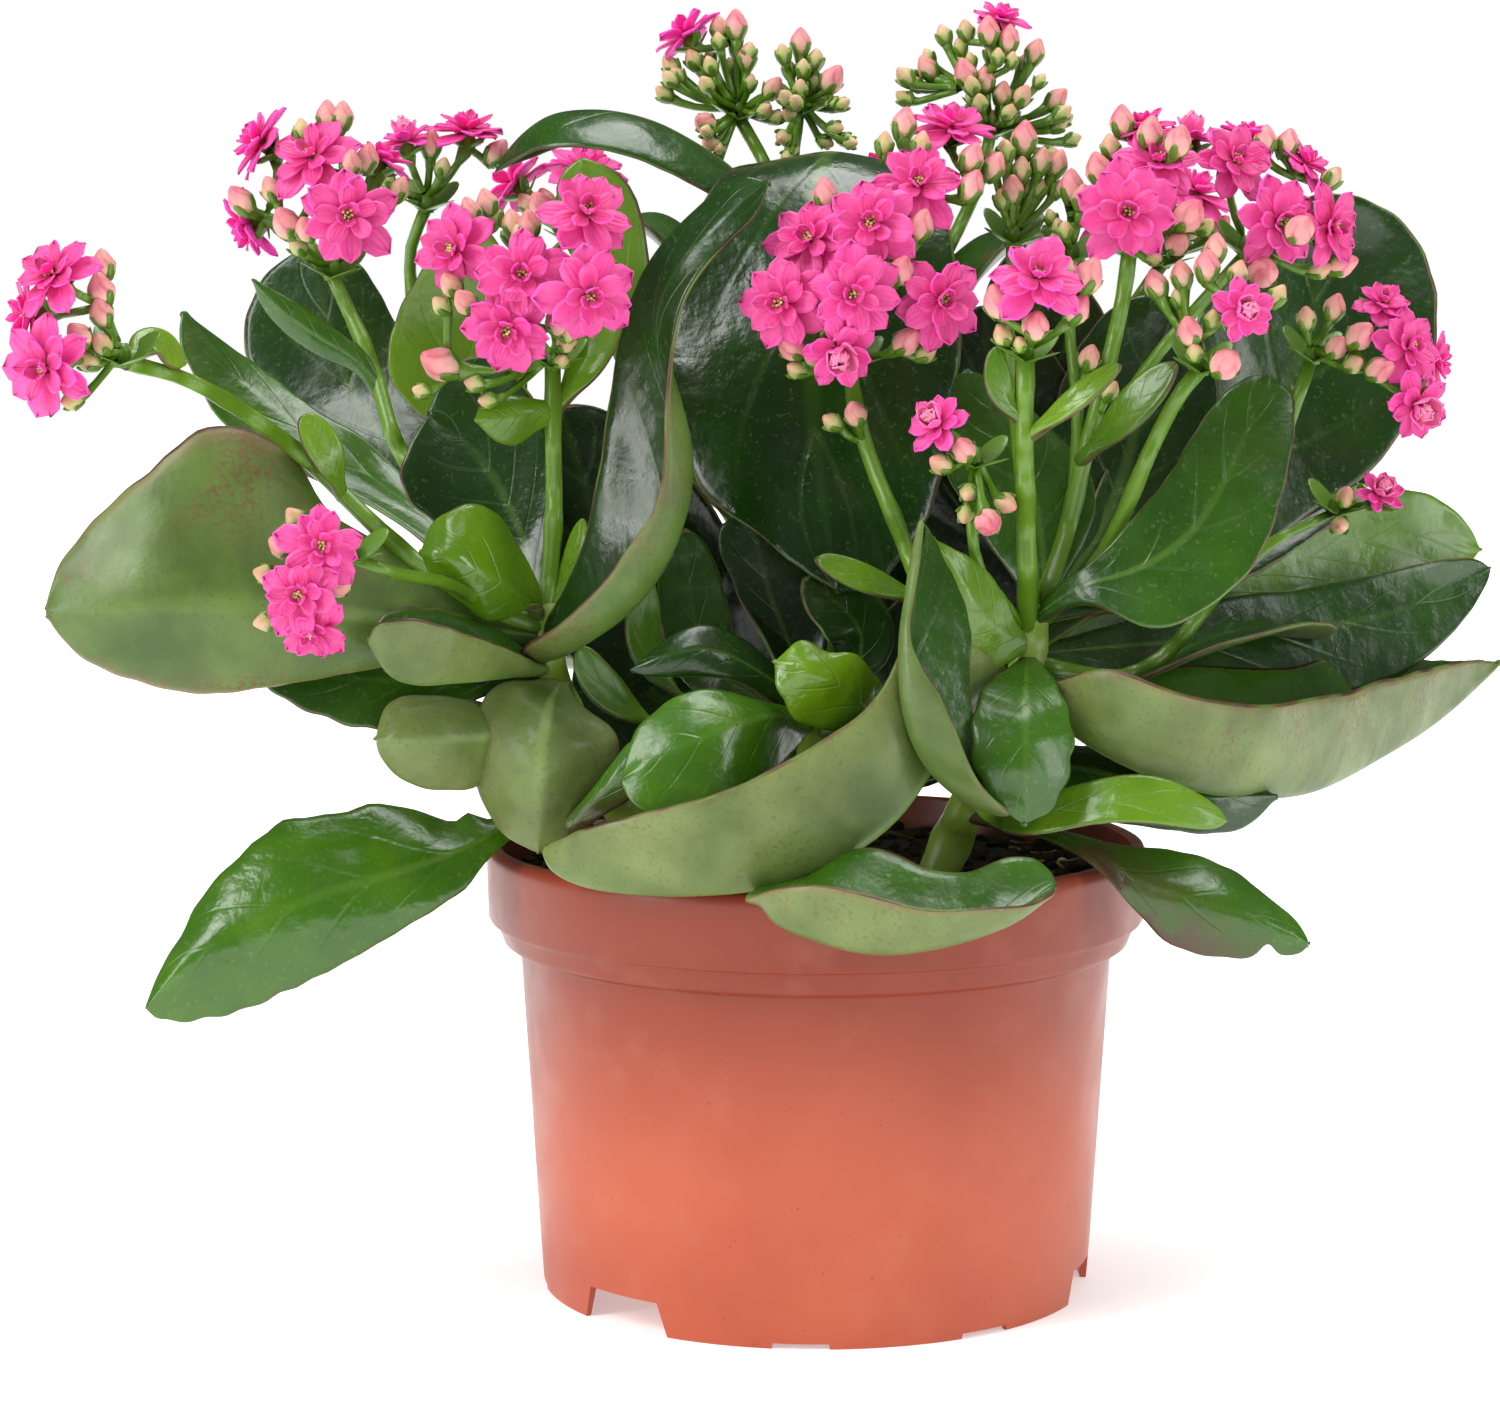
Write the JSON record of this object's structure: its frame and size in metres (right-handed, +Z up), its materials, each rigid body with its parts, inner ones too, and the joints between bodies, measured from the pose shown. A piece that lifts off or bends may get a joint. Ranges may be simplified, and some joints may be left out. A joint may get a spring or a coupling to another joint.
{
  "type": "potted kalanchoe",
  "caption": "Flowering kalanchoe with round fleshy leaves and double pink flower heads, standing in a filled round plastic nursery pot.",
  "frame": {"origin": "on the pot's axis, on the surface that the pot stands on, at the middle of the plant's outline", "axes": "+Z up along the pot's axis; -Y is the plant's front, the side with the most open flower heads; +X is to the viewer's right"},
  "size_m": [0.2648, 0.1728, 0.2348],
  "materials": {
    "pot_plastic": "satin moulded terracotta-coloured polypropylene",
    "potting_soil": "loose dark peat with grit",
    "foliage": "fleshy green leaf with a waxy sheen",
    "blossom": "soft matt pink petals",
    "buds": "matt green buds"
  },
  "bodies": {
    "root": {"pot": "pot_plastic", "soil": "potting_soil", "stem_left": "foliage", "stem_right": "foliage", "stem_front": "foliage", "stem_back": "foliage", "head_a": "blossom", "head_b": "blossom", "head_n": "blossom", "head_c": "blossom", "head_o": "blossom", "head_l": "blossom", "head_l_right": "buds", "head_m": "blossom", "head_d": "blossom", "head_x": "buds", "head_y": "buds", "head_e": "blossom", "head_i": "blossom", "head_f": "blossom", "head_f_right": "blossom", "head_g": "blossom", "head_h": "blossom", "head_k": "blossom", "head_j": "blossom", "head_p": "blossom", "head_q": "blossom", "head_r": "blossom"}
  },
  "joints": []
}
